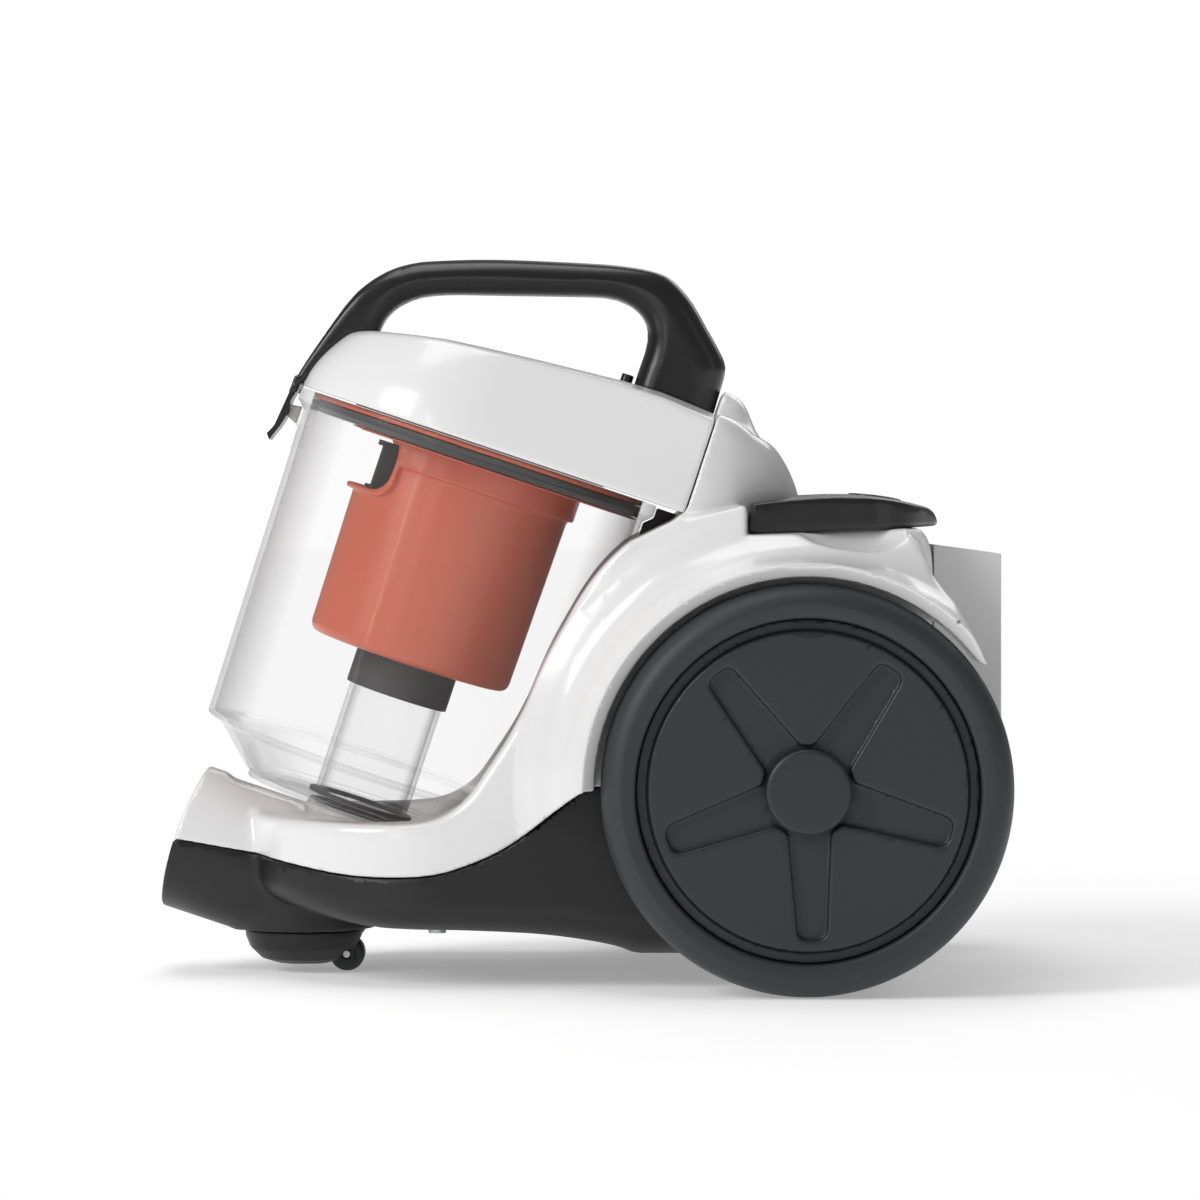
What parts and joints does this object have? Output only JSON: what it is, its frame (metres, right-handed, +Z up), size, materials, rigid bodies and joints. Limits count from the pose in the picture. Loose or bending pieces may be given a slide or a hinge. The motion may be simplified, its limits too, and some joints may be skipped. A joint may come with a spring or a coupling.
{
  "type": "canister vacuum cleaner",
  "caption": "Bagless canister vacuum with a tilted lift-out clear dust cup, carry handle with latch lever, big side wheels, swivel caster, hose inlet and rear exhaust door.",
  "frame": {"origin": "on the floor, under the middle of the machine's bounding box", "axes": "+Z up; +X from the hose inlet to the exhaust; +Y to the right of someone who stands behind the machine and looks towards the inlet"},
  "size_m": [0.3815, 0.272, 0.3263],
  "materials": {
    "white_shell": "glossy moulded",
    "black_shell": "fine moulded texture",
    "graphite_shell": "satin",
    "rubber": "matt",
    "wheel_grey": "satin",
    "coral": "satin",
    "seal_grey": "matt",
    "clear": "clear moulded plastic",
    "light_grey": "satin",
    "steel": "drawn",
    "filter": "pleated felt and foam",
    "board": "lacquered"
  },
  "bodies": {
    "body": {"lower_chassis": "black_shell", "upper_body": "white_shell", "hose_socket": "black_shell", "inlet_duct": "black_shell", "duct_seal": "seal_grey", "top_panel": "graphite_shell", "motor_chamber": "light_grey", "motor_mount_lower": "rubber", "motor_mount_upper": "rubber", "motor_can": "steel", "fan_housing": "steel", "suction_duct": "black_shell", "suction_grille": "black_shell", "reel_frame": "light_grey", "reel_axle": "steel", "control_board": "board", "power_switch": "black_shell", "cord_outlet": "black_shell", "rear_housing": "light_grey", "exhaust_filter": "filter", "wheel_axle_right": "steel", "wheel_axle_left": "steel", "chassis_screw_1": "steel", "chassis_screw_2": "steel", "floor_screw_1": "steel", "floor_screw_2": "steel"},
    "dust_cup": {"dust_cup": "clear", "inlet_tube": "clear", "cyclone_shroud": "coral", "cyclone_elbow": "seal_grey", "shroud_sleeve": "seal_grey", "cup_seal": "seal_grey", "foam_filter": "filter", "rear_catch": "graphite_shell", "flap_pin": "steel"},
    "bottom_flap": {"bottom_flap": "clear", "flap_seal": "seal_grey"},
    "lid": {"lid": "white_shell", "handle": "graphite_shell", "lever_pin": "steel"},
    "latch_lever": {"latch_lever": "graphite_shell", "latch_hook": "light_grey"},
    "release_button": {"release_button": "graphite_shell"},
    "release_pawl": {"release_pawl": "graphite_shell"},
    "power_button": {"power_button": "graphite_shell"},
    "rewind_button": {"rewind_button": "graphite_shell"},
    "wheel_right": {"tyre_right": "rubber", "wheel_disc_right": "wheel_grey", "hub_cap_right": "wheel_grey"},
    "wheel_left": {"tyre_left": "rubber", "wheel_disc_left": "wheel_grey", "hub_cap_left": "wheel_grey"},
    "caster_swivel": {"caster_swivel": "black_shell", "caster_axle": "steel"},
    "caster_wheel": {"caster_wheel": "rubber"},
    "impeller": {"impeller": "light_grey"},
    "reel_drum": {"reel_drum": "white_shell"},
    "exhaust_cover": {"exhaust_cover": "light_grey"}
  },
  "joints": [
    {"name": "cup_lift", "type": "slide", "parent": "body", "child": "dust_cup", "axis": [0.3173, 0, 0.9483], "range_m": [0, 0.19]},
    {"name": "lid_lift", "type": "slide", "parent": "dust_cup", "child": "lid", "axis": [0.3173, 0, 0.9483], "range_m": [0, 0.06]},
    {"name": "flap_open", "type": "hinge", "parent": "dust_cup", "child": "bottom_flap", "pos_m": [-0.04473, 0, 0.05589], "axis": [0, -1, 0], "range_deg": [0, 85]},
    {"name": "lever_open", "type": "hinge", "parent": "lid", "child": "latch_lever", "pos_m": [-0.1279, 0, 0.2694], "axis": [0, 1, 0], "range_deg": [0, 20], "stiffness_Nm_per_rad": 0.3, "springref_deg": -11.46},
    {"name": "release_press", "type": "slide", "parent": "lid", "child": "release_button", "axis": [-0.3173, 0, -0.9483], "range_m": [0, 0.004], "stiffness_N_per_m": 400, "springref_m": -0.001},
    {"name": "pawl_slide", "type": "slide", "parent": "lid", "child": "release_pawl", "axis": [-0.9483, 0, 0.3173], "range_m": [0, 0.0022]},
    {"name": "power_press", "type": "slide", "parent": "body", "child": "power_button", "axis": [0, 0, -1], "range_m": [0, 0.003], "stiffness_N_per_m": 600, "springref_m": -0.001},
    {"name": "rewind_press", "type": "slide", "parent": "body", "child": "rewind_button", "axis": [0, 0, -1], "range_m": [0, 0.003], "stiffness_N_per_m": 600, "springref_m": -0.001},
    {"name": "wheel_right_spin", "type": "hinge", "parent": "body", "child": "wheel_right", "pos_m": [0.1012, 0.116, 0.09], "axis": [0, 1, 0], "continuous": true},
    {"name": "wheel_left_spin", "type": "hinge", "parent": "body", "child": "wheel_left", "pos_m": [0.1012, -0.116, 0.09], "axis": [0, 1, 0], "continuous": true},
    {"name": "caster_turn", "type": "hinge", "parent": "body", "child": "caster_swivel", "pos_m": [-0.1245, 0, 0.0195], "axis": [0, 0, 1], "continuous": true},
    {"name": "caster_roll", "type": "hinge", "parent": "caster_swivel", "child": "caster_wheel", "pos_m": [-0.105, 0, 0.008], "axis": [0, 1, 0], "continuous": true},
    {"name": "motor_spin", "type": "hinge", "parent": "body", "child": "impeller", "pos_m": [0.072, -0.036, 0.1], "axis": [0, 0, 1], "continuous": true},
    {"name": "reel_spin", "type": "hinge", "parent": "body", "child": "reel_drum", "pos_m": [0.094, 0.044, 0.106], "axis": [0, 1, 0], "continuous": true},
    {"name": "exhaust_open", "type": "hinge", "parent": "body", "child": "exhaust_cover", "pos_m": [0.1893, 0, 0.1088], "axis": [0, 1, 0], "range_deg": [0, 90]}
  ],
  "couplings": [
    {"joint": "flap_open", "follows": "cup_lift", "rad_per_m": 7.8},
    {"joint": "pawl_slide", "follows": "release_press", "ratio": 0.55}
  ]
}
